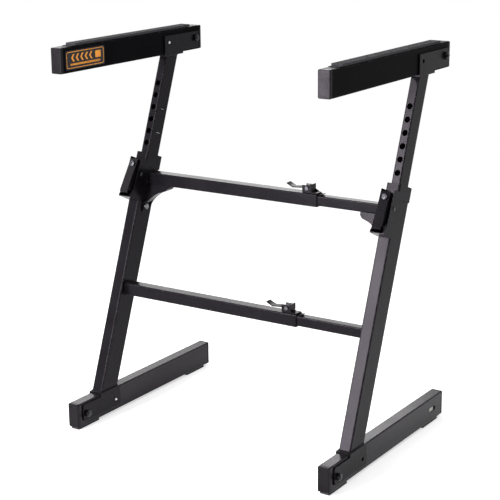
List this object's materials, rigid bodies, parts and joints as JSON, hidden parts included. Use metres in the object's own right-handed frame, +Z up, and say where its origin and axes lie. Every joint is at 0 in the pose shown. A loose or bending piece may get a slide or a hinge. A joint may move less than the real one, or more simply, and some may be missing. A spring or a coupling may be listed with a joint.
{
  "type": "folding keyboard stand",
  "caption": "Folding stand with two Z-shaped side frames: arms and bases swing on the legs, the legs telescope in height and the crossbars in width.",
  "frame": {"origin": "on the floor, under the middle of the object's box", "axes": "+Z up, the free ends of the arms point to -Y, the left side frame is at -X"},
  "size_m": [0.7586, 0.564, 0.936],
  "materials": {
    "black_steel": "black powder coat, semi-gloss",
    "black_plastic": "black moulded plastic, fine grain",
    "black_rubber": "matt black rubber",
    "blackened_steel": "black oxide, satin",
    "bright_zinc": "bright zinc plate"
  },
  "bodies": {
    "left_frame": {"left_lower_leg": "black_steel", "left_foot_bracket": "black_steel", "left_base_pivot_bolt": "blackened_steel", "left_leg_bushing": "black_plastic", "left_latch_housing": "black_steel", "left_latch_rivet": "bright_zinc", "left_latch_spring": "bright_zinc", "upper_crossbar_outer": "black_steel", "lower_crossbar_outer": "black_steel", "upper_cam_saddle": "black_steel", "lower_cam_saddle": "black_steel", "upper_cam_pin": "blackened_steel", "lower_cam_pin": "blackened_steel", "upper_pressure_plate": "black_steel", "lower_pressure_plate": "black_steel", "left_gusset_bolt": "bright_zinc"},
    "right_frame": {"right_lower_leg": "black_steel", "right_foot_bracket": "black_steel", "right_base_pivot_bolt": "blackened_steel", "right_leg_bushing": "black_plastic", "right_latch_housing": "black_steel", "right_latch_rivet": "bright_zinc", "right_latch_spring": "bright_zinc", "upper_crossbar_inner": "black_steel", "lower_crossbar_inner": "black_steel", "right_gusset_bolt": "bright_zinc"},
    "left_upper_leg": {"left_upper_leg": "black_steel", "left_arm_bracket": "black_steel", "left_arm_pivot_bolt": "blackened_steel"},
    "left_arm": {"left_arm_tube": "black_steel", "left_arm_front_cap": "black_plastic", "left_arm_rear_cap": "black_plastic", "left_arm_pad": "black_rubber"},
    "left_arm_button": {"left_arm_lock_button": "bright_zinc"},
    "left_base": {"left_base_tube": "black_steel", "left_base_front_cap": "black_plastic", "left_base_rear_cap": "black_plastic", "left_base_front_foot": "black_rubber", "left_base_rear_foot": "black_rubber"},
    "left_base_button": {"left_base_lock_button": "bright_zinc"},
    "left_latch_lever": {"left_latch_lever": "black_steel"},
    "left_latch_pin": {"left_latch_pin": "bright_zinc"},
    "right_upper_leg": {"right_upper_leg": "black_steel", "right_arm_bracket": "black_steel", "right_arm_pivot_bolt": "blackened_steel"},
    "right_arm": {"right_arm_tube": "black_steel", "right_arm_front_cap": "black_plastic", "right_arm_rear_cap": "black_plastic", "right_arm_pad": "black_rubber"},
    "right_arm_button": {"right_arm_lock_button": "bright_zinc"},
    "right_base": {"right_base_tube": "black_steel", "right_base_front_cap": "black_plastic", "right_base_rear_cap": "black_plastic", "right_base_front_foot": "black_rubber", "right_base_rear_foot": "black_rubber"},
    "right_base_button": {"right_base_lock_button": "bright_zinc"},
    "right_latch_lever": {"right_latch_lever": "black_steel"},
    "right_latch_pin": {"right_latch_pin": "bright_zinc"},
    "upper_cam_lever": {"upper_cam_lever": "black_steel"},
    "lower_cam_lever": {"lower_cam_lever": "black_steel"}
  },
  "joints": [
    {"name": "width", "type": "slide", "parent": "left_frame", "child": "right_frame", "axis": [1, 0, 0], "range_m": [-0.11, 0.1]},
    {"name": "left_height", "type": "slide", "parent": "left_frame", "child": "left_upper_leg", "axis": [0, 0.3535, 0.9354], "range_m": [-0.183, 0]},
    {"name": "left_arm_fold", "type": "hinge", "parent": "left_upper_leg", "child": "left_arm", "pos_m": [-0.352, 0.24, 0.9], "axis": [-1, 0, 0], "range_deg": [0, 290]},
    {"name": "left_base_fold", "type": "hinge", "parent": "left_frame", "child": "left_base", "pos_m": [-0.352, -0.244, 0.036], "axis": [-1, 0, 0], "range_deg": [0, 290]},
    {"name": "left_arm_button_press", "type": "slide", "parent": "left_arm", "child": "left_arm_button", "axis": [-1, 0, 0], "range_m": [0, 0.0055], "stiffness_N_per_m": 600, "springref_m": -0.004},
    {"name": "left_base_button_press", "type": "slide", "parent": "left_base", "child": "left_base_button", "axis": [-1, 0, 0], "range_m": [0, 0.0055], "stiffness_N_per_m": 600, "springref_m": -0.004},
    {"name": "left_latch_squeeze", "type": "hinge", "parent": "left_frame", "child": "left_latch_lever", "pos_m": [-0.352, -0.0001, 0.587], "axis": [1, 0, 0], "range_deg": [0, 12], "stiffness_Nm_per_rad": 0.6, "springref_deg": -11.46, "deforming": ["left_latch_spring"]},
    {"name": "left_latch_pin_draw", "type": "slide", "parent": "left_frame", "child": "left_latch_pin", "axis": [0, -0.9354, 0.3535], "range_m": [0, 0.005]},
    {"name": "right_height", "type": "slide", "parent": "right_frame", "child": "right_upper_leg", "axis": [0, 0.3535, 0.9354], "range_m": [-0.183, 0]},
    {"name": "right_arm_fold", "type": "hinge", "parent": "right_upper_leg", "child": "right_arm", "pos_m": [0.352, 0.24, 0.9], "axis": [-1, 0, 0], "range_deg": [0, 290]},
    {"name": "right_base_fold", "type": "hinge", "parent": "right_frame", "child": "right_base", "pos_m": [0.352, -0.244, 0.036], "axis": [-1, 0, 0], "range_deg": [0, 290]},
    {"name": "right_arm_button_press", "type": "slide", "parent": "right_arm", "child": "right_arm_button", "axis": [1, 0, 0], "range_m": [0, 0.0055], "stiffness_N_per_m": 600, "springref_m": -0.004},
    {"name": "right_base_button_press", "type": "slide", "parent": "right_base", "child": "right_base_button", "axis": [1, 0, 0], "range_m": [0, 0.0055], "stiffness_N_per_m": 600, "springref_m": -0.004},
    {"name": "right_latch_squeeze", "type": "hinge", "parent": "right_frame", "child": "right_latch_lever", "pos_m": [0.352, -0.0001, 0.587], "axis": [1, 0, 0], "range_deg": [0, 12], "stiffness_Nm_per_rad": 0.6, "springref_deg": -11.46, "deforming": ["right_latch_spring"]},
    {"name": "right_latch_pin_draw", "type": "slide", "parent": "right_frame", "child": "right_latch_pin", "axis": [0, -0.9354, 0.3535], "range_m": [0, 0.005]},
    {"name": "upper_cam_open", "type": "hinge", "parent": "left_frame", "child": "upper_cam_lever", "pos_m": [0.127, 0.0386, 0.5998], "axis": [0, 1, 0], "range_deg": [0, 95]},
    {"name": "lower_cam_open", "type": "hinge", "parent": "left_frame", "child": "lower_cam_lever", "pos_m": [0.132, -0.0612, 0.3358], "axis": [0, 1, 0], "range_deg": [0, 95]}
  ],
  "couplings": [
    {"joint": "left_latch_pin_draw", "follows": "left_latch_squeeze", "m_per_rad": 0.022},
    {"joint": "right_latch_pin_draw", "follows": "right_latch_squeeze", "m_per_rad": 0.022}
  ]
}
